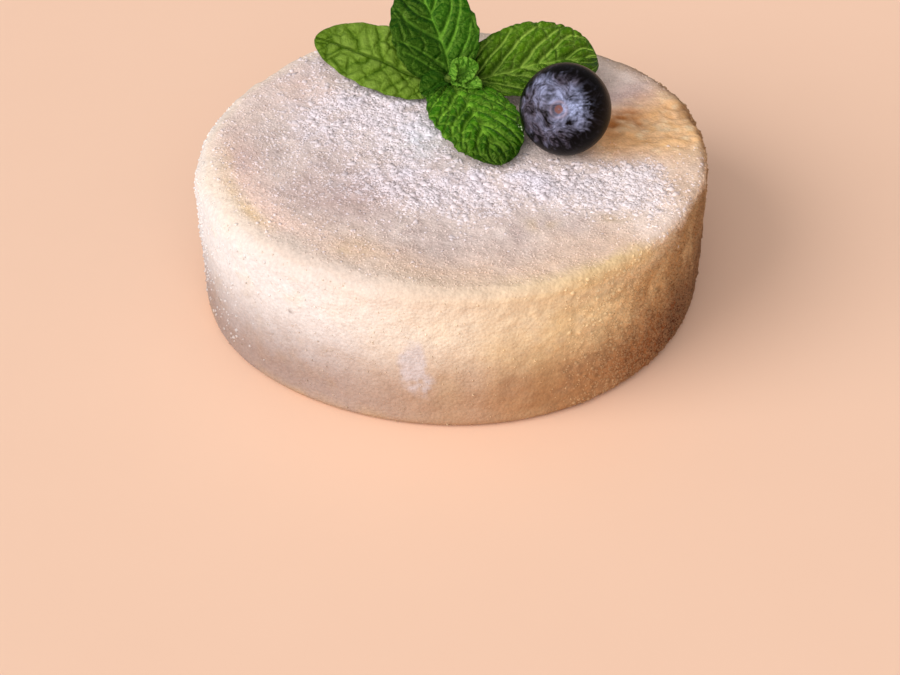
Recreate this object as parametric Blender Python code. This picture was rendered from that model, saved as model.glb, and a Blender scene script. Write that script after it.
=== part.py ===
"""A small round cheesecake under fine crumbs and sugar, with a sprig of mint and a blueberry on top.

Everything is at its real size in metres, +Z up. The origin is the middle of the cake's flat base, and
the front of the cake faces -Y. Three solids: the cake, the sprig and the berry.
"""

from itertools import product

import bmesh
import bpy
import numpy as np

MM = 0.001
GAP = 0.3 * MM

# The cake: a low cylinder, a little out of round, with soft edges and a top that falls to the right.
CAKE_RADIUS = 43.2 * MM
CAKE_HEIGHT = 27.2 * MM
OVAL = 0.5 * MM
SQUARED = 0.35 * MM
TOP_FALL = 0.9 * MM
TOP_WAVES = 0.35 * MM
WAVE_ACROSS = 9 * MM
WAVE_BACK = 11 * MM
EDGE_ROUND = 3.3 * MM
EDGE_ROUND_CHANGE = 1.6 * MM
BASE_ROUND = 1.8 * MM
BASE_NARROWING = 0.3 * MM

# The crumb coat and the clumps of sugar, as relief on the cake.
CRUMB_SIZE = 2.6 * MM
CRUMB_RELIEF = 0.32 * MM
SWELL_SIZE = 9.0 * MM
SWELL_RELIEF = 0.3 * MM
CLUMP_SIZE = 3.4 * MM
CLUMP_RELIEF = 1.5 * MM
SUGAR_MIDDLE = (4 * MM, 2 * MM)
SUGAR_SPREAD = 30 * MM

# How finely the cake is faceted: rings on its top, and rows down its side.
TOP_RINGS = 20
EDGE_ROWS = 4
WALL_ROWS = 10
BASE_ROWS = 2

# The blueberry lies on the cake with the scar of its stalk towards the front and its crown behind.
BERRY_RADIUS = 7.7 * MM
BERRY_PLACE = (18.7 * MM, -1.2 * MM)
BERRY_SQUASH = 0.93
SCAR_AXIS = (-0.21, -0.85, 0.49)
SCAR_RADIUS = 1.0 * MM
SCAR_DEPTH = 0.35 * MM
CROWN_RADIUS = 2.4 * MM
CROWN_RISE = 0.8 * MM
CROWN_LOBES = 5
BERRY_ROWS = 18
BERRY_COLUMNS = 30
ROWS_TO_POLES = 0.45

# The mint: a short stem, cut just above the cake, and the leaves that grow from the top of it.
SPRIG_HEAD = (-0.4 * MM, 13.8 * MM, 31.8 * MM)
STEM_FOOT = (-0.4 * MM, 16.6 * MM, 28.4 * MM)
STEM_RADIUS = 0.85 * MM
HEAD_RADIUS = 1.2 * MM
STEM_SIDES = 8
STEM_ROWS = 9
LEAF_THICKNESS = 0.5 * MM
STALK_HALF_WIDTH = 0.5 * MM
TIP_HALF_WIDTH = 0.25 * MM
WIDEST_AT = 0.43
BASE_FULLNESS = 0.42
TOOTH_DEPTH = 0.03
QUILT_DEPTH = 0.022
VEIN_SLANT = 0.22
LEAF_MESH = (24, 8)
SMALL_LEAF_MESH = (10, 4)
ROWS_TO_ENDS = 0.4

# Each leaf: base and tip (mm from the sprig's head), the way its face looks, its width in mm, how far it
# arches along its length and folds up across it, in radians, and its teeth on each side. The left and
# right leaves are the lower pair on the stem, back and front the next pair, and the others are young.
LEAVES = {
    "left": dict(base=(-0.3, 1.0, -1.5), tip=(-24.2, 10.3, 2.9), faces=(0, -0.71, 0.71), width=12.4,
                 arch=0.35, fold=0.05, teeth=7),
    "right": dict(base=(0.3, 1.0, -1.5), tip=(26.0, 8.2, -0.4), faces=(0, -0.5, 0.86), width=15.6,
                  arch=0.5, fold=0.28, teeth=7),
    "back": dict(base=(-0.2, 0.5, -0.4), tip=(-6.2, 12.8, 12.8), faces=(0.05, -0.7, 0.7), width=15.2,
                 arch=0.45, fold=0.12, teeth=7),
    "front": dict(base=(0.1, -0.5, -0.6), tip=(8.2, -22.4, -3.4), faces=(0.1, -0.1, 1.0), width=16.0,
                  arch=0.6, fold=-0.1, teeth=7),
    "low": dict(base=(-0.3, -0.3, 0), tip=(-5.1, -3.2, -1.2), faces=(-0.2, -0.7, 0.7), width=5.6,
                arch=0.5, fold=0.1, teeth=3),
    "young_back": dict(base=(0.2, 0, 0.2), tip=(4.8, 1.2, 2.3), faces=(-0.1, -0.5, 0.8), width=5.0,
                       arch=-0.5, fold=0.4, teeth=3),
    "young_front": dict(base=(0.3, -0.2, 0), tip=(5.3, -3.7, 0.3), faces=(0.2, -0.2, 0.9), width=4.6,
                        arch=-0.4, fold=0.35, teeth=3),
    "bud": dict(base=(0, -0.1, 0.3), tip=(0.8, -1.2, 3.6), faces=(0.9, -0.3, 0.3), width=3.0,
                arch=-0.4, fold=0.5, teeth=3),
}


def surface(name, color, roughness, coat=0.0):
    """A plain finish for one kind of piece."""
    made = bpy.data.materials.new(name)
    made.use_nodes = True
    shader = made.node_tree.nodes["Principled BSDF"]
    shader.inputs["Base Color"].default_value = (*color, 1)
    shader.inputs["Roughness"].default_value = roughness
    shader.inputs["Coat Weight"].default_value = coat
    return made


def add_object(name, points, faces, material):
    """One closed mesh of these points and faces, with its faces turned outwards."""
    mesh = bpy.data.meshes.new(name)
    mesh.from_pydata(points.tolist(), [], faces)
    shape = bmesh.new()
    shape.from_mesh(mesh)
    bmesh.ops.recalc_face_normals(shape, faces=shape.faces)
    shape.to_mesh(mesh)
    shape.free()
    mesh.shade_smooth()
    mesh.materials.append(material)
    made = bpy.data.objects.new(name, mesh)
    bpy.context.scene.collection.objects.link(made)
    return made


def bumps(points, size, seed):
    """Smooth noise from -1 to 1: a random value at each corner of a lattice of cubes, blended between."""
    draw = np.random.default_rng(seed)
    order = draw.permutation(256)
    value = draw.uniform(-1, 1, 256)
    corner = np.floor(points / size).astype(int)
    share = points / size - corner
    share = share * share * (3 - 2 * share)
    total = np.zeros(len(points))
    for step in product((0, 1), repeat=3):
        weight = np.where(step, share, 1 - share).prod(axis=1)
        x, y, z = ((corner + step) & 255).T
        total += weight * value[order[(order[(order[x] + y) & 255] + z) & 255]]
    return total


def outline(angle):
    """Radius of the cake's wall towards an angle: a circle that is faintly oval and faintly squared."""
    return CAKE_RADIUS + OVAL * np.cos(2 * angle - 1.4) + SQUARED * np.cos(4 * angle - 1.4)


def edge_round(angle):
    """Radius of the top edge's rounding: crisp at the right, soft at the left."""
    return EDGE_ROUND - EDGE_ROUND_CHANGE * np.cos(angle + 0.5)


def top_height(x, y):
    """Height of the cake's top: a plane that falls to the right, with two shallow waves across it."""
    waves = np.sin(x / WAVE_ACROSS + 0.7) * np.cos(y / WAVE_BACK - 0.4)
    return CAKE_HEIGHT - TOP_FALL * x / CAKE_RADIUS + TOP_WAVES * waves


def cake_skin(angle, along):
    """Points and outward directions of the cake's skin.

    along is 0 at the middle of the top, 1 where the edge starts to round, 2 at the top of the wall, 3 at its
    foot and 4 at the rim of the flat base.
    """
    wall, rounding = outline(angle), edge_round(angle)
    inner = wall - rounding
    reach = np.clip(along, 0, 1) * inner
    turn = np.clip(along - 1, 0, 1) * np.pi / 2
    down = np.clip(along - 2, 0, 1)
    under = np.clip(along - 3, 0, 1) * np.pi / 2
    across, back = np.cos(angle), np.sin(angle)
    top = top_height(reach * across, reach * back)
    shoulder = top - rounding
    z = shoulder + rounding * np.cos(turn)
    z = z + down * (BASE_ROUND - shoulder) - BASE_ROUND * np.sin(under)
    radius = reach + rounding * np.sin(turn) * (along > 1)
    radius = radius - down * BASE_NARROWING - BASE_ROUND * (1 - np.cos(under))
    out = np.sin(turn) * np.cos(under)
    points = np.stack([radius * across, radius * back, z], axis=-1)
    facing = np.stack([out * across, out * back, np.cos(turn) - np.sin(under)], axis=-1)
    return points, facing / np.linalg.norm(facing, axis=-1, keepdims=True)


def sugar(points):
    """How thickly sugar lies, 0 to 1: most over the middle of the top, fading out at its rounded edge."""
    away = np.hypot(points[:, 0] - SUGAR_MIDDLE[0], points[:, 1] - SUGAR_MIDDLE[1])
    on_top = np.clip((points[:, 2] - CAKE_HEIGHT + 3 * MM) / (2 * MM), 0, 1)
    return on_top * np.exp(-((away / SUGAR_SPREAD) ** 2))


def relief(points):
    """Height of the crumb coat: small crumbs on slow swells, and crags where the sugar has clumped."""
    crags = np.clip(bumps(points, CLUMP_SIZE, 5) - 0.15, 0, 1)
    return (
        CRUMB_RELIEF * bumps(points, CRUMB_SIZE, 3)
        + SWELL_RELIEF * bumps(points, SWELL_SIZE, 4)
        + CLUMP_RELIEF * crags * sugar(points)
    )


def ring_faces(ring):
    """Triangles between two rings of the top, of which the outer one has six points more."""
    first, outer = 1 + 3 * ring * (ring - 1), 1 + 3 * ring * (ring + 1)
    faces = []
    for side in range(6):
        for step in range(ring + 1):
            a = outer + (side * (ring + 1) + step) % (6 * (ring + 1))
            b = outer + (side * (ring + 1) + step + 1) % (6 * (ring + 1))
            c = first + (side * ring + step) % (6 * ring)
            faces.append((a, b, c))
            if step < ring:
                faces.append((c, b, first + (side * ring + step + 1) % (6 * ring)))
    return faces


def build_cake(material):
    """The cake: rings of triangles over its top, then rows of squares down to the rim of its flat base."""
    angle, along = [0.0], [0.0]
    for ring in range(1, TOP_RINGS + 1):
        angle += [2 * np.pi * k / (6 * ring) for k in range(6 * ring)]
        along += [ring / TOP_RINGS] * (6 * ring)
    faces = [(0, 1 + k, 1 + (k + 1) % 6) for k in range(6)]
    for ring in range(1, TOP_RINGS):
        faces += ring_faces(ring)

    columns = 6 * TOP_RINGS
    rows = [1 + (k + 1) / EDGE_ROWS for k in range(EDGE_ROWS)]
    rows += [2 + (k + 1) / WALL_ROWS for k in range(WALL_ROWS)]
    rows += [3 + (k + 1) / BASE_ROWS for k in range(BASE_ROWS)]
    start = len(angle) - columns
    for row in rows:
        angle += [2 * np.pi * k / columns for k in range(columns)]
        along += [row] * columns
        for k in range(columns):
            right = (k + 1) % columns
            faces.append((start + k, start + right, start + columns + right, start + columns + k))
        start += columns
    faces.append(tuple(range(start, start + columns)))

    points, facing = cake_skin(np.array(angle), np.array(along))
    fade = np.clip((points[:, 2] - 0.5 * MM) / (3 * MM), 0, 1)
    points = points + facing * (relief(points) * fade)[:, None]
    points[-columns:, 2] = 0
    return add_object("cake", points, faces, material)


def axes_from(forward, up_hint):
    """Three unit vectors: forward, sideways, and the part of up_hint square to forward."""
    forward = np.array(forward, float) / np.linalg.norm(forward)
    up = np.array(up_hint, float)
    up = up - forward * (up @ forward)
    up = up / np.linalg.norm(up)
    return forward, np.cross(up, forward), up


def build_berry(cake, material):
    """The berry: a squashed ball, a small round scar at one pole and a crown of five lobes at the other.

    It lies a gap above the first crumb that a ball of its radius would meet on its way down.
    """
    step = np.arange(1, BERRY_ROWS) / BERRY_ROWS
    step = step + ROWS_TO_POLES * (step**2 * (3 - 2 * step) - step)
    turn, polar = np.meshgrid(2 * np.pi * np.arange(BERRY_COLUMNS) / BERRY_COLUMNS, np.pi * step)
    turn, polar = turn.ravel(), polar.ravel()
    away = BERRY_RADIUS * np.sin(polar)
    height = BERRY_SQUASH * BERRY_RADIUS * np.cos(polar)
    rim = np.exp(-(((away - SCAR_RADIUS) / (0.5 * MM)) ** 2)) * (polar < 1)
    lobes = 0.5 + 0.5 * np.cos(CROWN_LOBES * turn)
    crown = np.exp(-(((away - CROWN_RADIUS) / (0.7 * MM)) ** 2)) * (polar > 2)
    pit = np.exp(-((away / (1.5 * MM)) ** 2)) * (polar > 2)
    height = height + SCAR_DEPTH * rim - CROWN_RISE * (crown * lobes - pit)
    local = np.stack([away * np.cos(turn), away * np.sin(turn), height], axis=-1)
    end = BERRY_SQUASH * BERRY_RADIUS
    local = np.vstack([local, [[0, 0, end - SCAR_DEPTH], [0, 0, CROWN_RISE - end]]])

    up, side, third = axes_from(SCAR_AXIS, (0, 0, 1))
    local = local @ np.stack([side, third, up])
    x, y = BERRY_PLACE
    crumbs = np.array([v.co for v in cake.data.vertices])
    belly = np.clip(BERRY_RADIUS**2 - (crumbs[:, 0] - x) ** 2 - (crumbs[:, 1] - y) ** 2, 0, None)
    middle = (crumbs[:, 2] + np.sqrt(belly))[belly > 0].max() + GAP
    points = local + np.array([x, y, middle])

    near, far = len(local) - 2, len(local) - 1
    last = (BERRY_ROWS - 2) * BERRY_COLUMNS
    faces = []
    for k in range(BERRY_COLUMNS):
        right = (k + 1) % BERRY_COLUMNS
        faces.append((near, k, right))
        faces.append((far, last + right, last + k))
        for row in range(BERRY_ROWS - 2):
            start = row * BERRY_COLUMNS
            below = start + BERRY_COLUMNS
            faces.append((start + k, below + k, below + right, start + right))
    return add_object("blueberry", points, faces, material)


def leaf_half_width(share, width):
    """Half of a leaf's width along its length: full near the base, widest before the middle, blunt tip."""
    tip_fullness = BASE_FULLNESS * (1 - WIDEST_AT) / WIDEST_AT
    blade = (share / WIDEST_AT) ** BASE_FULLNESS * ((1 - share) / (1 - WIDEST_AT)) ** tip_fullness
    return np.maximum(width / 2 * blade, np.where(share < 0.5, STALK_HALF_WIDTH, TIP_HALF_WIDTH))


def leaf_middle(share, across, leaf):
    """The leaf's middle surface and the way its face looks at each point.

    The midrib is an arc, the blades fold up from it, and teeth and quilted ribs slant towards the tip.
    """
    base, tip = np.array(leaf["base"]) * MM, np.array(leaf["tip"]) * MM
    arch, width = leaf["arch"], leaf["width"] * MM
    length = np.linalg.norm(tip - base) * (arch / 2) / np.sin(arch / 2)
    forward, side, up = axes_from(tip - base, leaf["faces"])
    turn = arch * (0.5 - share)
    x = length / arch * (np.sin(arch / 2) - np.sin(turn))
    z = length / arch * (np.cos(turn) - np.cos(arch / 2))

    beside = np.abs(across)
    ribs = np.cos(2 * np.pi * leaf["teeth"] * (share - VEIN_SLANT * beside))
    reach = across * leaf_half_width(share, width) * (1 + TOOTH_DEPTH * ribs * beside**4)
    bulge = 4 * beside * (1 - beside) * np.clip(6 * share * (1 - share), 0, 1)
    lift = np.abs(reach) * np.tan(leaf["fold"]) + QUILT_DEPTH * width * ribs * bulge
    facing = np.sin(-turn)[..., None] * forward + np.cos(turn)[..., None] * up
    middle = x[..., None] * forward + reach[..., None] * side + z[..., None] * up
    return middle + lift[..., None] * facing + base + np.array(SPRIG_HEAD), facing


def build_leaf(name, leaf, material):
    """A thin solid: the middle surface moved half a thickness each way, both faces split alike."""
    rows, columns = LEAF_MESH if leaf["teeth"] > 3 else SMALL_LEAF_MESH
    step = np.linspace(0, 1, rows)
    step = step + ROWS_TO_ENDS * ((1 - np.cos(np.pi * step)) / 2 - step)
    share, across = np.meshgrid(step, np.linspace(-1, 1, columns + 1), indexing="ij")
    middle, facing = leaf_middle(share, across, leaf)
    points = np.vstack([(middle + s * LEAF_THICKNESS / 2 * facing).reshape(-1, 3) for s in (1, -1)])

    width, under = columns + 1, rows * (columns + 1)
    faces = []
    for row, column in product(range(rows - 1), range(columns)):
        a = row * width + column
        faces.append((a, a + 1, a + width + 1))
        faces.append((a, a + width + 1, a + width))
        faces.append((under + a, under + a + width + 1, under + a + 1))
        faces.append((under + a, under + a + width, under + a + width + 1))
    rim = [row * width for row in range(rows)]
    rim += [(rows - 1) * width + column for column in range(1, width)]
    rim += [row * width + columns for row in range(rows - 2, -1, -1)]
    rim += list(range(columns - 1, 0, -1))
    for a, b in zip(rim, rim[1:] + rim[:1]):
        faces.append((a, b, under + b, under + a))
    return add_object(name, points, faces, material)


def build_stem(name, material):
    """The stem: a ball where the leaves meet, drawn out into a short stalk down to the cake."""
    head, foot = np.array(SPRIG_HEAD), np.array(STEM_FOOT)
    sides, rows = STEM_SIDES, STEM_ROWS
    share, turn = np.meshgrid(np.linspace(0, 1, rows), 2 * np.pi * np.arange(sides) / sides, indexing="ij")
    forward, side, up = axes_from(foot - head, (0, -1, 0))
    length = np.linalg.norm(foot - head) + HEAD_RADIUS
    along = share * length - HEAD_RADIUS
    ball = np.sqrt(np.clip(HEAD_RADIUS**2 - along**2, 0, None))
    radius = np.maximum(ball, np.where(share > 0, STEM_RADIUS, 0.6 * STEM_RADIUS))
    points = (
        head
        + along[..., None] * forward
        + (radius * np.cos(turn))[..., None] * side
        + (radius * np.sin(turn))[..., None] * up
    ).reshape(-1, 3)
    faces = [tuple(range(sides)), tuple(range((rows - 1) * sides, rows * sides))]
    for row, k in product(range(rows - 1), range(sides)):
        right = (k + 1) % sides
        a = row * sides
        faces.append((a + k, a + right, a + sides + right, a + sides + k))
    return add_object(name, points, faces, material)


def largest_shell(mesh):
    """Drops all but the largest shell of a fused mesh, so that sealed hollows are filled and scraps go."""
    shape = bmesh.new()
    shape.from_mesh(mesh)
    shells, left = [], set(shape.verts)
    while left:
        edge_of_search = [left.pop()]
        shell = list(edge_of_search)
        while edge_of_search:
            near = {e.other_vert(v) for v in edge_of_search for e in v.link_edges} & left
            left -= near
            shell += near
            edge_of_search = list(near)
        shells.append(shell)
    shells.sort(key=len)
    bmesh.ops.delete(shape, geom=[v for shell in shells[:-1] for v in shell], context="VERTS")
    shape.to_mesh(mesh)
    shape.free()


def build_sprig(material):
    """The sprig is one plant: every leaf is fused to the stem."""
    stem = build_stem("mint_sprig", material)
    parts = bpy.data.collections.new("leaves")
    bpy.context.scene.collection.children.link(parts)
    for name, leaf in LEAVES.items():
        made = build_leaf("leaf_" + name, leaf, material)
        bpy.context.scene.collection.objects.unlink(made)
        parts.objects.link(made)
    join = stem.modifiers.new("join", "BOOLEAN")
    join.operation = "UNION"
    join.solver = "EXACT"
    join.use_self = True
    join.operand_type = "COLLECTION"
    join.collection = parts
    bpy.context.view_layer.update()
    fused = bpy.data.meshes.new_from_object(stem.evaluated_get(bpy.context.evaluated_depsgraph_get()))
    largest_shell(fused)
    stem.modifiers.clear()
    stem.data = fused
    for leaf in list(parts.objects):
        bpy.data.objects.remove(leaf)
    bpy.data.collections.remove(parts)
    return stem


for old in list(bpy.data.objects):
    bpy.data.objects.remove(old)
the_cake = build_cake(surface("crumb coat", (0.87, 0.72, 0.55), 0.9))
build_berry(the_cake, surface("blueberry skin", (0.05, 0.05, 0.10), 0.5, 0.1))
build_sprig(surface("mint green", (0.09, 0.22, 0.03), 0.45, 0.2))
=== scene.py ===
"""The looks of a small round cheesecake under fine crumbs and sugar, with a sprig of mint and a blueberry.

Everything is in the row's frame, in metres: +Z up, the front of the cake towards -Y, and the origin in the
middle of the cake's flat base.
"""

from itertools import combinations, product

import bpy
import numpy as np
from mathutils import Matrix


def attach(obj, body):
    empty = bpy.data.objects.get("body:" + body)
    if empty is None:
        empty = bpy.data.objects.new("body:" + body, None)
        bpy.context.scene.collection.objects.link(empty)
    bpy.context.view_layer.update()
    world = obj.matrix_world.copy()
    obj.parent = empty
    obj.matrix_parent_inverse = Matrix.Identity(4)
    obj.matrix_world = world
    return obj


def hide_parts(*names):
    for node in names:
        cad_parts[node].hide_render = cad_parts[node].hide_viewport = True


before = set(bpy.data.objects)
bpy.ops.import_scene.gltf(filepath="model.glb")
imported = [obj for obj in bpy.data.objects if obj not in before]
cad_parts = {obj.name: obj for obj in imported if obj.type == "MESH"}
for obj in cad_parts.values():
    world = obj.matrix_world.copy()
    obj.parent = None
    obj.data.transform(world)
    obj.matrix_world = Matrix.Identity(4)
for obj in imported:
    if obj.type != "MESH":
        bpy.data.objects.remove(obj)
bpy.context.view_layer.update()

# The cake is baked cream cheese, set in a round mould and turned out, its outside pressed with fine pale
# crumbs. It is a low cylinder, a little out of round, with a soft edge and a top that falls to the right.
# Its skin is one closed sheet: a square grid pulled onto the disc of the top, then rows down the wall.
MM = 0.001
CAKE_RADIUS = 43.2 * MM
CAKE_HEIGHT = 27.2 * MM
OVAL = 0.5 * MM
SQUARED = 0.35 * MM
TOP_FALL = 0.9 * MM
TOP_WAVES = 0.35 * MM
WAVE_ACROSS = 9 * MM
WAVE_BACK = 11 * MM
EDGE_ROUND = 3.3 * MM
EDGE_ROUND_CHANGE = 1.6 * MM
BASE_ROUND = 1.8 * MM
BASE_NARROWING = 0.3 * MM
TOP_SQUARES = 190
EDGE_ROWS, WALL_ROWS, BASE_ROWS = 14, 60, 6

# Relief of the coat, as size across and height: slow swells, crumbs, and the clumps that the sugar makes.
SWELL_SIZE, SWELL_RELIEF = 9.0 * MM, 0.3 * MM
CRUMB_SIZE, CRUMB_RELIEF = 2.6 * MM, 0.14 * MM
GRIT_SIZE, GRIT_RELIEF = 1.2 * MM, 0.10 * MM
CLUMP_SIZE, CLUMP_RELIEF = 3.6 * MM, 0.50 * MM
KNOB_SIZE, KNOB_RELIEF = 1.9 * MM, 0.22 * MM
WRINKLE_SIZE, WRINKLE_RELIEF = 1.8 * MM, 0.33 * MM


def bumps(points, size, seed):
    """Smooth noise from -1 to 1: a random value at each corner of a lattice of cubes, blended between."""
    draw = np.random.default_rng(seed)
    order = draw.permutation(256)
    value = draw.uniform(-1, 1, 256)
    corner = np.floor(points / size).astype(int)
    share = points / size - corner
    share = share * share * (3 - 2 * share)
    total = np.zeros(len(points))
    for step in product((0, 1), repeat=3):
        weight = np.where(step, share, 1 - share).prod(axis=1)
        x, y, z = ((corner + step) & 255).T
        total += weight * value[order[(order[(order[x] + y) & 255] + z) & 255]]
    return total


TURNED = np.linalg.qr(np.random.default_rng(2).normal(size=(3, 3)))[0]


def rough(points, size, seed, layers=3):
    """Rougher noise: bumps of that size, and ever smaller ones on them, each lattice turned another way."""
    total = np.zeros(len(points))
    for layer in range(layers):
        points = points @ TURNED
        total += 0.55**layer * bumps(points, size / 2**layer, seed + 100 * layer)
    return total


def edge_rounding(angle):
    """Radius of the rounded edge, large at the left and small at the right."""
    return EDGE_ROUND - EDGE_ROUND_CHANGE * np.cos(angle + 0.5)


def cake_skin(angle, along):
    """Points and outward directions of the bare cake.

    The wall is a circle, faintly oval and faintly squared. The top is a plane that falls to the right, with
    two shallow waves across it. along is 0 at the middle of the top, 1 where the edge starts to round, 2 at
    the top of the wall, 3 at its foot and 4 at the rim of the flat base.
    """
    wall = CAKE_RADIUS + OVAL * np.cos(2 * angle - 1.4) + SQUARED * np.cos(4 * angle - 1.4)
    rounding = edge_rounding(angle)
    reach = np.clip(along, 0, 1) * (wall - rounding)
    turn = np.clip(along - 1, 0, 1) * np.pi / 2
    down = np.clip(along - 2, 0, 1)
    under = np.clip(along - 3, 0, 1) * np.pi / 2
    across, back = np.cos(angle), np.sin(angle)
    x, y = reach * across, reach * back
    top = CAKE_HEIGHT - TOP_FALL * x / CAKE_RADIUS
    top = top + TOP_WAVES * np.sin(x / WAVE_ACROSS + 0.7) * np.cos(y / WAVE_BACK - 0.4)
    shoulder = top - rounding
    z = shoulder + rounding * np.cos(turn)
    z = z + down * (BASE_ROUND - shoulder) - BASE_ROUND * np.sin(under)
    radius = reach + rounding * np.sin(turn) * (along > 1)
    radius = radius - down * BASE_NARROWING - BASE_ROUND * (1 - np.cos(under))
    out = np.sin(turn) * np.cos(under)
    points = np.stack([radius * across, radius * back, z], axis=-1)
    facing = np.stack([out * across, out * back, np.cos(turn) - np.sin(under)], axis=-1)
    return points, facing / np.linalg.norm(facing, axis=-1, keepdims=True)


def hill(x, y, middle, wide, deep):
    """A smooth hill over the top, 1 at its middle and fading over the half widths wide and deep."""
    return np.exp(-(((x - middle[0] * MM) / (wide * MM)) ** 2) - ((y - middle[1] * MM) / (deep * MM)) ** 2)


# The drifts of sugar, each as how thick it lies, its middle, and its half widths across and front to back in
# mm: at the left, along the front, on the right rim, behind, and thin towards the front rim.
SUGAR_DRIFTS = ((0.88, (-12, 9), 15, 12), (1.00, (10, -13), 23, 7), (0.90, (33, -12), 9, 7),
                (0.50, (0, 26), 26, 9), (0.36, (-1, -21), 11, 6))


def sugar_cover(points):
    """How thickly the sugar lies, 0 to 1: the sum of the drifts, broken up by rough noise.

    Nothing lies on the wall, and little where the berry rolled.
    """
    x, y, z = points.T
    cover = sum(thick * hill(x, y, middle, wide, deep) for thick, middle, wide, deep in SUGAR_DRIFTS)
    cover = cover * (1 + 0.45 * rough(points, 4.5 * MM, 21, 2)) + 0.10 * rough(points, 2 * MM, 22, 2)
    cover = cover * (1 - 0.97 * hill(x, y, (35, 6), 13, 9)) * (1 - 0.6 * hill(x, y, (26, 21), 9, 8))
    cover = cover * np.clip((38 * MM - x) / (5 * MM), 0.1, 1)
    on_top = np.clip((z - CAKE_HEIGHT + 3.2 * MM) / (2 * MM), 0, 1)
    return np.clip(cover, 0, 1) * on_top


def clump_relief(points):
    """Height of the sugar's clumps where it lies thickest: crags, with pitted knobs on them."""
    crags = np.clip(bumps(points, CLUMP_SIZE, 5) - 0.15, 0, 1)
    knobs = np.clip(rough(points, KNOB_SIZE, 6, 2), -0.6, 1)
    return sugar_cover(points) * (CLUMP_RELIEF * crags + KNOB_RELIEF * knobs)


def bare_patch(points):
    """Where the berry rolled and the top lies bare and toasted, 0 to 1."""
    # The toasted colour here lies in the berry's shadow and is partly painted warm shade.
    x, y = points.T[:2]
    return np.clip(hill(x, y, (33, 5), 11, 8) + 0.8 * hill(x, y, (41, 12), 7, 9), 0, 1)


def coarseness(points):
    """How coarse the crumb lies, 0 to 1: fine and smooth at the left, coarse round the right of the wall."""
    x, y, z = points.T
    below_rim = np.clip((CAKE_HEIGHT - 0.5 * MM - z) / (3 * MM), 0, 1)
    return np.clip(np.sin(np.arctan2(x, -y) - 0.3) * 1.1 + 0.1, 0, 1) * below_rim


def ripples(points):
    """Noise of the fine wrinkles that the berry left, from about -1 to 1, a little longer across."""
    return rough(points * [0.85, 1.1, 1], WRINKLE_SIZE, 8, 2)


def coat_relief(points):
    """Height of the coat over the bare cake: swells, crumbs and grit everywhere, and the sugar's clumps."""
    height = SWELL_RELIEF * bumps(points, SWELL_SIZE, 4) + CRUMB_RELIEF * rough(points, CRUMB_SIZE, 3, 1)
    grit = GRIT_RELIEF * (1 + 1.3 * coarseness(points))
    height += grit * rough(points, GRIT_SIZE, 7, 1) + clump_relief(points)
    height += WRINKLE_RELIEF * bare_patch(points) * ripples(points)
    return height * np.clip((points[:, 2] - 0.5 * MM) / (3 * MM), 0, 1)


def cake_grid(count, edge_rows, wall_rows, base_rows):
    """The cake's skin as angle, along and squares.

    The top is a grid of count by count squares whose square rings are pulled round into circles. From its
    rim, rows of 4 x count squares run down to the rim of the flat base, which one large face closes.
    """
    step = np.linspace(-1, 1, count + 1)
    u, v = np.meshgrid(step, step, indexing="ij")
    along = np.maximum(np.abs(u), np.abs(v))
    safe = np.where(along > 0, along, 1)
    sideways = np.abs(u) >= np.abs(v)
    turn = np.pi / 4 * np.where(sideways, v, u) / safe
    quarters = [sideways & (u < 0), ~sideways & (v > 0), ~sideways]
    angle = np.select(quarters, [np.pi - turn, np.pi / 2 - turn, 3 * np.pi / 2 + turn], turn)

    place = np.arange((count + 1) ** 2).reshape(count + 1, count + 1)
    corners = [place[:-1, :-1], place[1:, :-1], place[1:, 1:], place[:-1, 1:]]
    squares = [np.stack(corners, axis=-1).reshape(-1, 4)]
    rim = np.concatenate([place[-1, :-1], place[:0:-1, -1], place[0, :0:-1], place[:-1, 0]])

    rows = np.concatenate([
        1 + np.arange(1, edge_rows + 1) / edge_rows,
        2 + np.arange(1, wall_rows + 1) / wall_rows,
        3 + np.arange(1, base_rows + 1) / base_rows,
    ])
    rings = np.vstack([rim, (count + 1) ** 2 + np.arange(len(rows) * len(rim)).reshape(len(rows), -1)])
    onward = np.roll(rings, -1, axis=1)
    squares.append(np.stack([rings[:-1], rings[1:], onward[1:], onward[:-1]], axis=-1).reshape(-1, 4))
    angle = np.concatenate([angle.ravel(), np.tile(angle.ravel()[rim], len(rows))])
    along = np.concatenate([along.ravel(), np.repeat(rows, len(rim))])
    return angle, along, np.vstack(squares), rings[-1]


def add_piece(name, points, faces, material, smooth=True):
    """One mesh object at the origin, with its place in its mesh, riding on the body that nothing moves."""
    mesh = bpy.data.meshes.new(name)
    mesh.from_pydata(points, [], faces)
    mesh.validate()
    if smooth:
        mesh.shade_smooth()
    mesh.materials.append(material)
    made = bpy.data.objects.new(name, mesh)
    bpy.context.scene.collection.objects.link(made)
    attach(made, "root")
    return made


def mark(piece, name, values):
    """Gives a piece one number per point, which its material reads by name."""
    points = piece.data.attributes.new(name, "FLOAT", "POINT").data
    points.foreach_set("value", values.astype(np.float32))


def put(tree, kind, inputs=None, **settings):
    """Adds a shader node. inputs gives sockets, by name or number, a value or the output to feed them."""
    made = tree.nodes.new("ShaderNode" + kind)
    for key, value in settings.items():
        setattr(made, key, value)
    for key, value in (inputs or {}).items():
        if isinstance(value, bpy.types.NodeSocket):
            tree.links.new(value, made.inputs[key])
        else:
            made.inputs[key].default_value = value
    return made


def read_mark(tree, name):
    """The number that mark gave each point."""
    return put(tree, "Attribute", attribute_name=name).outputs["Fac"]


def blend(tree, share, first, second):
    """A colour between two colours, each a socket or red, green and blue."""
    first, second = [c if isinstance(c, bpy.types.NodeSocket) else (*c, 1) for c in (first, second)]
    return put(tree, "Mix", {0: share, 6: first, 7: second}, data_type="RGBA").outputs[2]


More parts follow.
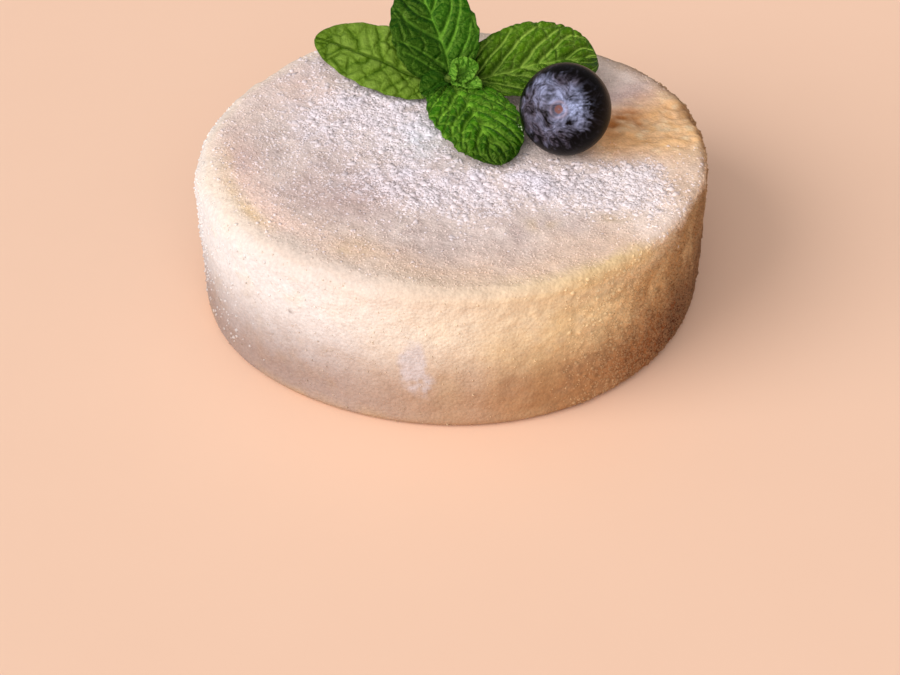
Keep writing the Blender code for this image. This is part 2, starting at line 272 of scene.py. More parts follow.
def spread(tree, value, low, high, to_low=0.0, to_high=1.0):
    """value mapped from low..high to to_low..to_high, and held at the ends."""
    inputs = {"Value": value, "From Min": low, "From Max": high, "To Min": to_low, "To Max": to_high}
    return put(tree, "MapRange", inputs).outputs[0]


def maths(tree, operation, first, second):
    """The result of one Math node."""
    return put(tree, "Math", {0: first, 1: second}, operation=operation).outputs[0]


def noise(tree, place, size, detail=2.0, roughness=0.5):
    """Noise with features of about that size, in metres."""
    inputs = {"Vector": place, "Scale": 1 / size, "Detail": detail, "Roughness": roughness}
    return put(tree, "TexNoise", inputs).outputs[0]


def new_material(name, roughness, **sockets):
    """A material with its shader, its node tree and the object's own coordinates."""
    made = bpy.data.materials.new(name)
    made.use_nodes = True
    shader = made.node_tree.nodes["Principled BSDF"]
    shader.inputs["Roughness"].default_value = roughness
    for key, value in sockets.items():
        shader.inputs[key.replace("_", " ")].default_value = value
    place = put(made.node_tree, "TexCoord").outputs["Object"]
    return made, made.node_tree, shader, place


def raise_by(tree, shader, height, distance):
    """Feeds a height into the shader's normal, as relief of that distance in metres."""
    bump = put(tree, "Bump", {"Height": height, "Distance": distance, "Strength": 1.0})
    tree.links.new(bump.outputs[0], shader.inputs["Normal"])


# The coat's colours. Round the wall they go from cream at the back, past near-white at the left and honey
# in front of the right side, to brown toast; the tan and toast at the right are partly the crumb's own
# colour and partly painted shade, warmed as by bounced light. Each stands with how far round it is, in
# degrees right of the front. The others are named for where they lie: the foot, the edge, the dusted top,
# its rim, the toasted patch and the sugar. Some of these are painted shade or light, as marked below.
WALL_BACK = (0.66, 0.56, 0.46)
WALL_LEFT = (0.695, 0.68, 0.67)
WALL_PALE = (0.74, 0.69, 0.65)
WALL_CREAM = (0.80, 0.67, 0.51)
WALL_HONEY = (0.805, 0.60, 0.335)
# Painted shade: the tan and the toast stand partly for the shade on the right of the wall, warmed as by
# bounced light.
WALL_TAN_AND_SHADE = (0.55, 0.315, 0.13)
WALL_TOAST_AND_SHADE = (0.275, 0.122, 0.043)
WALL_ROUND = ((-180, WALL_BACK), (-85, WALL_LEFT), (-27, WALL_PALE), (0, WALL_CREAM), (18, WALL_HONEY),
              (34, WALL_HONEY), (48, WALL_TAN_AND_SHADE), (74, WALL_TOAST_AND_SHADE), (110, WALL_TOAST_AND_SHADE), (180, WALL_BACK))
CRUST_BROWN = (0.26, 0.12, 0.04)
HONEY = (0.86, 0.62, 0.34)
CREAM = (0.84, 0.74, 0.58)
# Painted shade: these darken and grey the low wall, deeper still at the left.
FOOT_SHADE = (0.52, 0.36, 0.28)
FOOT_SHADE_LEFT = (0.51, 0.435, 0.42)
FOOT_DEEPER_SHADE = (0.80, 0.70, 0.64)
FOOT_TAN = (0.50, 0.34, 0.20)
EDGE_CREAM = (0.80, 0.66, 0.53)
# Painted shade: the edge band is darker in front.
EDGE_SHADED_FRONT = (0.71, 0.575, 0.475)
EDGE_OCHRE = (0.77, 0.54, 0.26)
DUSTED = (0.62, 0.49, 0.44)
DUSTED_PALE = (0.79, 0.65, 0.57)
DUSTED_MAUVE = (0.53, 0.365, 0.32)
RIM_WARM = (0.79, 0.57, 0.41)
RIM_CREAM = (0.93, 0.68, 0.56)
RIM_PALE = (0.95, 0.76, 0.63)
# Painted shade: the toasted colours stand partly for the berry's warm shadow: darker near it and in the
# wrinkles, orange in its shadow, brown just behind it.
TOASTED_AND_SHADE = (1.0, 0.60, 0.28)
TOASTED_SHADE = (0.66, 0.31, 0.11)
BERRY_SHADOW_ORANGE = (1.0, 0.52, 0.21)
BERRY_SHADOW_BROWN = (0.46, 0.16, 0.035)
TOASTED_PALE = (1.0, 0.76, 0.47)
STAIN = (0.60, 0.42, 0.22)
SPECK = (0.16, 0.11, 0.09)
SUGAR_WHITE = (0.79, 0.72, 0.77)
SUGAR_WARM = (0.87, 0.76, 0.72)
# Painted highlight: bluish glints on the sugar beside the front leaf.
SUGAR_PAINTED_GLINT = (0.86, 0.88, 0.95)
PATCH = (0.60, 0.56, 0.59)

# Spots of the top where its colour turns, as colour, strength, middle, and half widths across and front to
# back; the pale spot behind the berry, at the right, is painted light, lifting the shadow of the leaf and
# berry.
# Then the ochre stains on it, and the dark specks of scorched crumb here and there. All lie in mm.
TOP_SPOTS = ((DUSTED, 0.5, (1, -30), 9, 6), (DUSTED_MAUVE, 1, (33, 17), 7, 5),
             (RIM_PALE, 0.5, (30, 26), 7, 5))
STAIN_PLACES = ((-16, -32), (-8, -1), (-18, 11), (14, -24), (26, -22))
SPECK_PLACES = ((-29.4, -3.4, 27.5), (-15.8, -38, 27), (-25.6, -34.8, 17.7), (-8.5, -42.4, 12.6),
                (-3.6, -14.2, 27.4), (-31.4, 7.1, 27.4), (-40.8, -13.9, 15), (12, 31, 26.8),
                (30.5, 30.5, 14))
SPECK_RADIUS = 0.33 * MM


def mix(first, second, share):
    """Colours between two, each one colour or one per point, for a share from 0 to 1 at each point."""
    return first + np.subtract(second, first) * np.clip(share, 0, 1)[:, None]


def shaded(colors, shade, share):
    """Colours multiplied by a shade, as far as a share from 0 to 1 at each point."""
    return colors * (1 + np.subtract(shade, 1) * share[:, None])


def bump_at(value, middle, width):
    """A smooth bump of height 1 at middle, as wide as width to each side."""
    return np.exp(-(((value - middle) / width) ** 2))


def past_rim(points, along):
    """How far over the rim of the top each point is, in metres: below 0 on the top, above 0 on the edge."""
    rounding = edge_rounding(np.arctan2(points[:, 1], points[:, 0]))
    flat = (np.minimum(along, 1) - 1) * (CAKE_RADIUS - EDGE_ROUND)
    edge = np.clip(along - 1, 0, 1) * np.pi / 2 * rounding
    return flat + edge + np.clip(along - 2, 0, 1) * (CAKE_HEIGHT - EDGE_ROUND)


def arc(turned, ends):
    """1 between the middle two of four ends round the cake, fading to 0 at the outer two."""
    return np.interp(turned, ends, (0, 1, 1, 0))


def turn_from_front(points):
    """How far round the cake each point is, in degrees: 0 in front, 90 at the right, -90 at the left."""
    return np.degrees(np.arctan2(points[:, 0], -points[:, 1]))


def wall_color(points):
    """The wall's colour: near-white at the left, toasted at the right, where crust shows in upright streaks.

    Lower down it is darker and greyer as painted shade, deeper still at the left, with a fringe of tan at
    the very foot. The toast at the right is partly painted shade. In front are a tan smear and a grey rubbed
    patch.
    """
    x, y, z = points.T
    turned = turn_from_front(points)
    drift = turned + 6 * rough(points, 7 * MM, 31, 2)
    # Painted shade: the ramp darkens and browns towards the right, partly for the shade there.
    turns, colors = zip(*WALL_ROUND)
    wall = np.stack([np.interp(drift, turns, part, period=360) for part in zip(*colors)], axis=-1)
    right = np.interp(turned, (-180, -20, 20, 60, 110, 180), (0.1, 0.05, 0.35, 1, 0.8, 0.1))
    blotch, fine = rough(points, 3 * MM, 38, 2), rough(points, 1.1 * MM, 33, 2)
    wall = mix(wall, CREAM, (1 - right) * (0.30 * blotch + 0.15 * fine))
    streaks = rough(points * [1, 1, 0.5], 2.6 * MM, 32, 2) + 0.6 * fine
    wall = mix(wall, CRUST_BROWN, 0.42 * right * streaks)
    wall = mix(wall, HONEY, 0.40 * right * np.clip(-streaks - 0.1, 0, 1))
    # Painted shade: the wall darkens and greys towards its foot, deeper still at the left.
    leftness = arc(turned, (-180, -130, -40, 0))
    low = np.clip(((19 + 2 * leftness) * MM - z) / (13 * MM) + 0.08 * blotch, 0, 1)
    low = low * low * (3 - 2 * low)
    shade = mix(FOOT_SHADE, FOOT_SHADE_LEFT, leftness)
    wall = shaded(wall, shade, low * (0.8 + 0.36 * right))
    deeper = np.clip((10 * MM - z) / (4.5 * MM) + 0.25 * blotch, 0, 1) * leftness
    wall = shaded(wall, FOOT_DEEPER_SHADE, deeper)
    fringe = np.clip(1 - z / (3.5 * MM), 0, 1) * np.clip(0.4 + rough(points, 5 * MM, 34, 2), 0, 1)
    wall = mix(wall, FOOT_TAN, (1 - right) * fringe)
    wall = mix(wall, FOOT_TAN, 0.6 * hill(x, z, (-0.5, 9), 2.6, 4.5) * (y < 0) * (1 + 0.4 * streaks))
    rubbed = hill(x, z, (-5.8, 11.5), 3, 5.5) * (y < 0)
    return mix(wall, PATCH, np.clip(2.2 * rubbed * (1 + 0.6 * streaks) - 0.8, 0, 0.6))


def top_color(points, over):
    """The top's colour, for how far over the rim each point is.

    It is a thin pale dust, mauve-grey as painted shade in one broad hollow, warmer towards the rim at the
    front and the left, with a few ochre stains. Where the berry rolled it is toasted, with pale flecks; its
    orange there is partly painted warm shade of the berry's shadow, darker as painted shade near the berry
    and in the wrinkles, with a painted brown shadow just behind the berry. It is white where the sugar lies
    and on its clumps, duller between them partly as painted shade, warmer at the right and near the front
    rim, and with a painted bluish glint in one spot beside the front leaf.
    """
    x, y = points.T[:2]
    turned = turn_from_front(points)
    slow, fine = rough(points, 6 * MM, 35, 2), rough(points, 1.5 * MM, 36, 2)
    blotch = rough(points, 2.4 * MM, 40, 2)
    pale = 0.5 + 0.35 * slow + 0.30 * fine + 0.40 * blotch + 0.3 * hill(x, y, (-31, 3), 8, 9)
    top = mix(DUSTED, DUSTED_PALE, pale)
    front = arc(turned, (-60, -30, 85, 110))
    paler = arc(turned, (43, 50, 58, 68))
    warm = mix(RIM_WARM, RIM_PALE, paler)
    top = mix(top, warm, front * np.clip(over / (9 * MM) + 1.25 + 0.2 * slow, 0, 0.9))
    left = np.interp(turned, (-120, -98, -72, -45, -25), (0, 0.2, 1, 1, 0))
    top = mix(top, RIM_CREAM, left * np.clip(over / (5 * MM) + 1.4 + 0.3 * slow, 0, 0.9))
    top = mix(top, RIM_CREAM, 0.45 * hill(x, y, (-26, 19), 7, 7))
    # Painted shade: the broad hollow is mauve-grey.
    hollow = 0.5 * hill(x, y, (-35, -4), 5, 7) + 1.3 * hill(x, y, (-17, -16), 9, 6.5)
    top = mix(top, DUSTED_MAUVE, hollow * (0.75 + 0.5 * slow + 0.3 * fine))
    # The pale spot behind the berry is painted light.
    for color, strength, middle, wide, deep in TOP_SPOTS:
        top = mix(top, color, strength * hill(x, y, middle, wide, deep))
    for place in STAIN_PLACES:
        top = mix(top, STAIN, 0.6 * hill(x, y, place, 2.8, 2.0) * (0.7 + fine))
    bare = bare_patch(points)
    # The patch lies in the berry's shadow: its orange is partly the crumb's own toast and partly painted
    # warm shade.
    top = mix(top, TOASTED_AND_SHADE, np.clip(1.5 * bare - 0.2, 0, 1) * (0.9 + 0.2 * fine))
    # Painted shade: darker near the berry and in the wrinkles' troughs, orange in the berry's shadow, and a
    # brown shadow just behind the berry.
    wrinkles = ripples(points)
    darker = bare * (0.15 * hill(x, y, (26, 3), 6, 6) - 0.35 * wrinkles)
    top = mix(top, TOASTED_SHADE, np.clip(darker, 0, 0.5))
    top = mix(top, BERRY_SHADOW_ORANGE, 0.8 * hill(x, y, (26, 1), 6, 5))
    flecks = rough(points * [0.95, 1.15, 1], 1.5 * MM, 39, 2)
    top = mix(top, TOASTED_PALE, np.clip(bare * (1.2 * flecks - 0.15), 0, 0.7))
    brown = 1.1 * hill(x, y, (28.8, 8.6), 3.4, 2.6) + 0.55 * hill(x, y, (26.9, 5.2), 2.4, 2.6)
    brown = brown + 0.45 * hill(x, y, (32.5, 11.8), 4.5, 2.8)
    top = mix(top, BERRY_SHADOW_BROWN, brown * (0.9 + 0.3 * fine - 0.4 * wrinkles))
    warmer = np.maximum(x - 14 * MM, -12 * MM - y) / (14 * MM)
    sugar = mix(SUGAR_WHITE, SUGAR_WARM, warmer)
    # The sugar is whiter on its clumps and duller between them, partly thinner sugar and partly painted
    # shade.
    heaped = sugar_cover(points) * (0.68 + 0.9 * clump_relief(points) / CLUMP_RELIEF)
    top = mix(top, sugar, heaped + 0.10 * fine * (1 - bare))
    # Painted highlight: a bluish glint on the sugar beside the front leaf.
    return mix(top, SUGAR_PAINTED_GLINT, 0.6 * hill(x, y, (-6, 1), 5, 7) * (0.8 + 0.5 * fine))


# How far past the rim the dust of the top reaches, and over what width it fades, by degrees right of the
# front.
DUST_TURNS = (-180, -100, -60, -27, 10, 44, 52, 75, 110, 180)
DUST_ENDS = np.array((-2, 2, -1.5, -2, -0.5, 0.3, 2.2, 2.4, 0.5, -2)) * MM
DUST_FADES = np.array((4, 3, 3.5, 6, 4, 2, 2, 2, 3, 4)) * MM


def coat_color(points, along):
    """The coat's colour: the wall's below, the top's above, and a yellower band on the edge between them.

    The dust ends high on the edge at the left and low at the far right. The band under it is pale, darker in
    front as painted shade, and ochre in front of the right side. A honey line runs along the rim at the
    left.
    """
    x, y, z = points.T
    turned = turn_from_front(points)
    over = past_rim(points, along)
    wander = rough(points, 4 * MM, 37, 2)
    ends = np.interp(turned, DUST_TURNS, DUST_ENDS) + 0.8 * MM * wander
    fade = np.interp(turned, DUST_TURNS, DUST_FADES)
    ochre = np.interp(turned, (-20, 12, 28, 46, 56), (0, 0.5, 1, 1, 0))
    middle = (2.6 + 0.6 * wander) * MM
    band = bump_at(np.maximum(over, middle), middle, 2.6 * MM)
    # Painted shade: the edge band is darker in front.
    in_front = arc(turned, (-60, -40, 5, 25))
    edge = mix(EDGE_CREAM, EDGE_SHADED_FRONT, in_front)
    banded = arc(turned, (-180, -140, 48, 62))
    color = mix(wall_color(points), edge, (0.7 + 0.25 * (over < middle)) * band * banded)
    color = mix(color, EDGE_OCHRE, 0.85 * ochre * band)
    color = mix(color, top_color(points, over), (ends - over) / fade + 0.5)
    at_left = arc(turned, (-92, -78, -56, -44))
    line = 0.42 * at_left * bump_at(over, -0.8 * MM, 1.3 * MM)
    color = mix(color, HONEY, line * (1 + 0.9 * wander))
    for x0, y0, z0 in SPECK_PLACES:
        apart = np.hypot(np.hypot(x - x0 * MM, y - y0 * MM), z - z0 * MM)
        color = mix(color, SPECK, 0.8 * bump_at(apart, 0, SPECK_RADIUS))
    return color


def crumb_material(name, roughness, grain, relief):
    """Matt crumbs in the coat's own colour, in lighter and darker spots of about grain, harder where coarse.

    Relief is how deep the spots and the pits between them are, in metres.
    """
    made, tree, shader, place = new_material(name, roughness, Specular_IOR_Level=0.25)
    tint = put(tree, "Attribute", attribute_name="tint").outputs["Color"]
    fine = noise(tree, place, grain, 4, 0.7)
    darker = put(tree, "Mix", {0: 1.0, 6: tint}, data_type="RGBA", blend_type="MULTIPLY")
    shade = spread(tree, fine, 0.3, 0.7, 0.84, 1.08)
    harder = spread(tree, noise(tree, place, 1.6 * grain, 3, 0.6), 0.36, 0.64, 0.52, 1.38)
    coarse = read_mark(tree, "coarse")
    both = put(tree, "Mix", {0: coarse, 2: shade, 3: harder}, data_type="FLOAT").outputs[0]
    tree.links.new(both, darker.inputs[7])
    tree.links.new(darker.outputs[2], shader.inputs["Base Color"])
    cells = put(tree, "TexVoronoi", {"Vector": place, "Scale": 1 / (0.8 * grain)}).outputs["Distance"]
    raise_by(tree, shader, maths(tree, "SUBTRACT", fine, cells), relief)
    return made


def dye(piece, colors):
    """Gives a piece one colour per point, which its material reads as tint."""
    rgba = np.column_stack([np.clip(colors, 0, 1), np.ones(len(colors))])
    piece.data.attributes.new("tint", "FLOAT_COLOR", "POINT").data.foreach_set(
        "color", rgba.astype(np.float32).ravel())


angle, along, squares, base_rim = cake_grid(TOP_SQUARES, EDGE_ROWS, WALL_ROWS, BASE_ROWS)
skin, facing = cake_skin(angle, along)
bare = skin.copy()
skin = skin + facing * coat_relief(skin)[:, None]
skin[base_rim, 2] = 0
crumbs = crumb_material("fine cake crumbs", 0.95, 0.7 * MM, 0.09 * MM)
cake = add_piece("cake_skin", skin, squares.tolist() + [base_rim[::-1].tolist()], crumbs)
dye(cake, coat_color(bare, along))
mark(cake, "coarse", coarseness(bare))
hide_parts("cake")

# The grains on the cake are crumbs and sugar crystals that cling where they fell, each partly sunk in the
# coat. They are small irregular lumps, drawn at random over the skin and joined kind by kind.
GOLDEN = (1 + 5**0.5) / 2
EIGHT_CORNERS = np.array([[1, 0, 0], [-1, 0, 0], [0, 1, 0], [0, -1, 0], [0, 0, 1], [0, 0, -1]], float)
TWENTY_CORNERS = np.array([
    np.roll((0, i, j * GOLDEN), -axis) for axis in range(3) for i in (-1, 1) for j in (-1, 1)
]) / np.hypot(1, GOLDEN)


def hull_faces(corners):
    """The triangles of a regular solid: every three corners that are one edge apart, turned outwards."""
    apart = np.linalg.norm(corners[:, None] - corners[None], axis=-1)
    edge = apart[apart > 0.1].min() * 1.01
    faces = []
    for a, b, c in combinations(range(len(corners)), 3):
        if max(apart[a, b], apart[b, c], apart[a, c]) < edge:
            out = np.dot(np.cross(corners[b] - corners[a], corners[c] - corners[a]), corners[a]) > 0
            faces.append((a, b, c) if out else (a, c, b))
    return np.array(faces)


EIGHT_SIDED = (EIGHT_CORNERS, hull_faces(EIGHT_CORNERS))
TWENTY_SIDED = (TWENTY_CORNERS, hull_faces(TWENTY_CORNERS))


def drop_on(points, faces, weight, count, draw):
    """Random places on a mesh: the squares they fall in, the places, and the way that the mesh faces there.

    A square is drawn by its area times its weight, and a place anywhere in it.
    """
    a, b, c, d = (points[faces[:, k]] for k in range(4))
    normal = np.cross(c - a, d - b)
    area = np.linalg.norm(normal, axis=1)
    share = area * weight
    chosen = draw.choice(len(faces), count, p=share / share.sum())
    s, t = draw.random((2, count, 1))
    low = a[chosen] * (1 - s) + b[chosen] * s
    high = d[chosen] * (1 - s) + c[chosen] * s
    return chosen, low * (1 - t) + high * t, normal[chosen] / area[chosen, None]


def add_lumps(name, solid, places, normals, radius, rise, material, draw):
    """One piece of irregular lumps, one at each place, each turned at random.

    A lump's corners are drawn in or out at random, and its middle is raised by a share of its radius.
    Nothing goes below the ground.
    """
    corners, faces = solid
    count = len(places)
    turn = draw.normal(size=(count, 4))
    w, x, y, z = (turn / np.linalg.norm(turn, axis=1, keepdims=True)).T
    spin = np.array([
        [1 - 2 * (y * y + z * z), 2 * (x * y - w * z), 2 * (x * z + w * y)],
        [2 * (x * y + w * z), 1 - 2 * (x * x + z * z), 2 * (y * z - w * x)],
        [2 * (x * z - w * y), 2 * (y * z + w * x), 1 - 2 * (x * x + y * y)],
    ]).transpose(2, 0, 1)
    shape = corners * draw.uniform(0.6, 1.4, (count, len(corners), 1)) * radius[:, None, None]
    middle = places + normals * (radius * rise)[:, None]
    points = (shape @ spin + middle[:, None]).reshape(-1, 3)
    points[:, 2] = np.maximum(points[:, 2], 0)
    joined = (faces + len(corners) * np.arange(count)[:, None, None]).reshape(-1, 3)
    made = add_piece(name, points, joined, material, smooth=len(corners) > 6)
    return made


def scatter(name, solid, weight, count, size, rise, color, share, material, seed):
    """One kind of grain: count lumps, their radius drawn between two sizes in mm, more of them small.

    Each is sunk by the share of its radius that rise gives, below 0. It takes the coat's colour where it
    lies, moved by a share towards its own, and a random shade.
    """
    draw = np.random.default_rng(seed)
    chosen, places, normals = drop_on(skin, squares, weight, count, draw)
    radius = (size[0] + (size[1] - size[0]) * draw.random(count) ** 1.6) * MM
    made = add_lumps(name, solid, places, normals, radius, rise, material, draw)
    under = coat_color(bare_middle[chosen], square_along[chosen])
    own = mix(under, color, np.full(count, share)) * draw.uniform(0.90, 1.08, (count, 1))
    dye(made, np.repeat(own, len(solid[0]), axis=0))


# Where each kind lies, as weights over the squares of the skin: sugar where it is heaped and strewn thinly
# beside that, fine crumbs where it isn't, and coarse ones round the right of the wall and on the far left.
bare_middle = bare[squares].mean(axis=1)
square_along = along[squares].mean(axis=1)
x, y = bare_middle.T[:2]
square_turn = np.arctan2(x, -y)
cover = sugar_cover(bare_middle)
on_top = square_along < 1.25
on_wall = (square_along >= 1.6) & (square_along < 3.6)
coarse_part = np.clip(1.5 * np.sin(square_turn - 0.25) - 0.2, 0, 1)
far_left = bump_at(square_turn, -np.pi / 2, 0.45) * (square_along > 1.4) * (square_along < 2.95)
rim_dust = bump_at(square_along, 1.3, 0.35) * bump_at(square_turn, 1.15, 0.3)
swept = np.clip(1.6 * hill(x, y, (35, 7), 14, 11), 0, 1)
drift = np.clip((cover - 0.12) / 0.7, 0, 1) ** 1.4
stray = 0.4 * hill(x, y, (-21, -4), 18, 21)

grain = crumb_material("sugar and crumb grains", 0.9, 0.4 * MM, 0.02 * MM)
scatter("sugar_lumps", TWENTY_SIDED, on_top * drift, 4000, (0.4, 1.0), -0.72,
        (0.86, 0.79, 0.84), 0.45, grain, 41)
scatter("sugar_grains", TWENTY_SIDED, on_top * (drift + stray) + 0.5 * rim_dust, 7500, (0.15, 0.4), -0.5,
        (0.88, 0.81, 0.86), 0.45, grain, 42)
scatter("dusty_crumbs", EIGHT_SIDED, on_top * (1.1 - cover) * (1 - swept), 12000, (0.12, 0.25), -0.2,
        (0.84, 0.74, 0.70), 0.22, grain, 43)
scatter("wall_crumbs", EIGHT_SIDED, on_wall * (0.02 + 0.98 * coarse_part), 22000, (0.13, 0.27), -0.1,
        (0.90, 0.64, 0.36), 0.15, grain, 44)
scatter("coarse_crumbs", TWENTY_SIDED, on_wall * coarse_part, 5500, (0.25, 0.5), -0.4,
        (0.90, 0.64, 0.36), 0.12, grain, 45)
scatter("edge_crumbs", TWENTY_SIDED, far_left, 800, (0.15, 0.36), -0.2, (0.92, 0.88, 0.84), 0.3, grain, 46)

# The blueberry lies on the sugar with the scar of its stalk towards the front. It is a firm, slightly
# flattened ball under a waxy bloom, which is rubbed thin in swirls and gives way to near-black skin round
# the sides. The crown of five short lobes that the flower left is at the far end.
BERRY_RADIUS = 7.7 * MM
BERRY_SQUASH = 0.93
BERRY_PLACE = (18.7 * MM, -1.2 * MM)
BERRY_SINKS = 0.25 * MM
SCAR_AXIS = (-0.21, -0.85, 0.49)
SCAR_RADIUS, SCAR_SINKS = 0.8 * MM, 0.28 * MM
STALK_RADIUS, STALK_RISE = 0.2 * MM, 0.15 * MM
COLLAR_RADIUS, COLLAR_RISE = 1.35 * MM, 0.30 * MM
CROWN_RADIUS, CROWN_RISE = 2.4 * MM, 0.8 * MM
CROWN_LOBES = 5
PIT_RADIUS = 1.7 * MM
BERRY_ROWS, BERRY_COLUMNS = 230, 340
ROWS_TO_POLES = 0.45
SKIN_BLACK = (0.003, 0.002, 0.002)
WAX_MAUVE = (0.135, 0.112, 0.148)
WAX_BLUE = (0.41, 0.47, 0.72)
WAX_SMEARED = (0.04, 0.035, 0.06)
COLLAR_GREY = (0.30, 0.24, 0.30)
SCAR_BROWN = (0.19, 0.085, 0.075)


def axes_from(forward, up_hint):
    """Three unit vectors: forward, sideways, and the part of up_hint square to forward."""
    forward = np.array(forward, float) / np.linalg.norm(forward)
    up = np.array(up_hint, float)
    up = up - forward * (up @ forward)
    up = up / np.linalg.norm(up)
    return forward, np.cross(up, forward), up


def berry_skin(turn, polar):
    """Points of the berry about its scar's pole: a squashed ball with faint dents.

    At the scar, a sunk disc inside a raised collar, with the stub of the stalk in its middle. At the far
    pole, a pit inside a ring of lobes.
    """
    away = BERRY_RADIUS * np.sin(polar)
    height = BERRY_SQUASH * BERRY_RADIUS * np.cos(polar)
    near, far = polar < 1, polar > 2
    collar = COLLAR_RISE * bump_at(away, COLLAR_RADIUS, 0.30 * MM) * (1 + 0.25 * np.cos(3 * turn + 1))
    disc = STALK_RISE * bump_at(away, 0, STALK_RADIUS) - SCAR_SINKS * bump_at(away, 0, SCAR_RADIUS)
    lobes = np.abs(np.cos(CROWN_LOBES * turn / 2)) ** 1.5
    lip = CROWN_RADIUS * (1 + 0.12 * lobes)
    crown = bump_at(away, lip, 0.45 * MM) * (0.25 + 0.75 * lobes)
    pit = bump_at(away, 0, PIT_RADIUS)
    height = height + near * (collar + disc) - CROWN_RISE * far * (crown - pit)
    return np.stack([away * np.cos(turn), away * np.sin(turn), height], axis=-1)


def ball_faces(rows, columns):
    """Squares between the rings of a ball, and triangles from its two poles, which come after the rings."""
    ring = np.arange(rows * columns).reshape(rows, columns)
    onward = np.roll(ring, -1, axis=1)
    squares = np.stack([ring[:-1], ring[1:], onward[1:], onward[:-1]], axis=-1).reshape(-1, 4)
    first, last = rows * columns, rows * columns + 1
    caps = [(first, a, b) for a, b in zip(ring[0], onward[0])]
    caps += [(last, b, a) for a, b in zip(ring[-1], onward[-1])]
    return squares.tolist() + caps


def berry_material():
    """Near-black skin under wax, blue-grey where the bloom is whole and mauve-grey where it is thin.

    The scar is pink-brown, and its collar a paler grey.
    """
    made, tree, shader, place = new_material("blueberry skin", 0.42, Specular_IOR_Level=0.05)
    bloom = read_mark(tree, "bloom")
    smear = noise(tree, place, 0.8 * MM, 4, 0.65)
    wax = blend(tree, read_mark(tree, "blue"), WAX_MAUVE, WAX_BLUE)
    wax = blend(tree, spread(tree, smear, 0.45, 0.70, 0, 0.6), wax, WAX_SMEARED)
    color = blend(tree, bloom, SKIN_BLACK, wax)
    color = blend(tree, read_mark(tree, "collar"), color, COLLAR_GREY)
    color = blend(tree, read_mark(tree, "scar"), color, SCAR_BROWN)
    tree.links.new(color, shader.inputs["Base Color"])
    tree.links.new(spread(tree, bloom, 0, 1, 0.32, 0.72), shader.inputs["Roughness"])
    raise_by(tree, shader, noise(tree, place, 0.35 * MM, 3, 0.6), 0.03 * MM)
    return made


step = np.arange(1, BERRY_ROWS) / BERRY_ROWS
step = step + ROWS_TO_POLES * (step**2 * (3 - 2 * step) - step)
turn, polar = np.meshgrid(2 * np.pi * np.arange(BERRY_COLUMNS) / BERRY_COLUMNS, np.pi * step)
turn, polar = np.append(turn.ravel(), [0, 0]), np.append(polar.ravel(), [0, np.pi])
berry = berry_skin(turn, polar)
berry *= 1 + 0.006 * bumps(berry, 5 * MM, 51)[:, None]
away = BERRY_RADIUS * np.sin(polar)
near = polar < 1
berry_scar = near * np.clip((0.82 * MM - away) / (0.25 * MM), 0, 1)
berry_scar = berry_scar * (1 - 0.5 * bump_at(away, 0, STALK_RADIUS))
berry_scar = berry_scar * (1 + 0.3 * rough(berry, 0.5 * MM, 61, 2))
broken = np.clip(0.6 + 0.6 * rough(berry, 1.4 * MM, 62, 2), 0, 1)
berry_collar = near * bump_at(away, 1.3 * MM, 0.25 * MM) * broken
ring_gap = near * bump_at(away, 0.98 * MM, 0.12 * MM)

up, side, third = axes_from(SCAR_AXIS, (0, 0, 1))
x, y = BERRY_PLACE
belly = np.clip(BERRY_RADIUS**2 - (skin[:, 0] - x) ** 2 - (skin[:, 1] - y) ** 2, 0, None)
seat = (skin[:, 2] + np.sqrt(belly))[belly > 0].max() - BERRY_SINKS
berry = berry @ np.stack([side, third, up])
outward = berry / np.linalg.norm(berry, axis=1, keepdims=True)
berry = berry + np.array([x, y, seat])


def facing_to(direction, width):
    """1 where the berry's skin faces that way, fading as a smooth bump over a width in radians."""
    cosine = outward @ np.array(direction) / np.linalg.norm(direction)
    return bump_at(np.arccos(np.clip(cosine, -1, 1)), 0, width)


# The bloom lies in a cap about its own axis, a little to the left of the scar. Its border is brushed
# out in fine strokes, with faint wisps past it. Inside it is rubbed into swirls, bluest beside the scar and
# thin and mauve at the left. On the far side it lies in patches.
BLOOM_AXIS = (-0.42, -0.78, 0.46)
forward, side, up = axes_from(BLOOM_AXIS, (0, 0, 1))
cap_polar = np.arccos(np.clip(outward @ forward, -1, 1))
cap_turn = np.arctan2(outward @ up, outward @ side)
ring = np.stack([np.cos(cap_turn), np.sin(cap_turn), 0 * cap_turn], axis=-1)
strokes = rough(ring * 7 + cap_polar[:, None] * [0, 0, 1.5], 1.0, 52, 2)
drawn = np.stack([rough(outward, 0.4, seed, 2) for seed in (54, 55, 56)], axis=-1)
wisps = rough(ring * 17 + cap_polar[:, None] * [0, 0, 5] + 2.2 * drawn, 1.0, 53, 2)
swirl = rough(outward + 0.22 * drawn, 0.20, 57)
fine_swirl = rough(outward * [1, 1, 1.8] + 0.30 * drawn, 0.085, 58, 2)
cap = np.clip((1.00 + 0.14 * strokes + 0.09 * wisps - cap_polar) / 0.30, 0, 1)
faint = 0.14 * np.clip((1.35 + 0.25 * wisps - cap_polar) / 0.5, 0, 1) * np.clip(wisps + 0.2, 0, 1)
rubbed = 0.38 * facing_to((-0.68, -0.71, 0.31), 0.55) + 0.30 * facing_to((-0.1, -0.95, -0.1), 0.45)
patches = np.clip(0.4 + 0.8 * rough(outward, 0.5, 59), 0, 0.7) * np.clip((cap_polar - 2.1) / 0.5, 0, 1)
bloom = cap * (0.70 - 0.9 * rubbed + 0.36 * swirl + 0.40 * fine_swirl) + faint + patches
bloom = np.clip(bloom * (1 - 0.35 * ring_gap) + 0.3 * near * bump_at(away, 1.2 * MM, 0.6 * MM), 0, 1)
bluest = 0.95 * facing_to((0.20, -0.83, 0.49), 0.46) + 0.45 * facing_to((-0.575, -0.19, 0.82), 0.32)
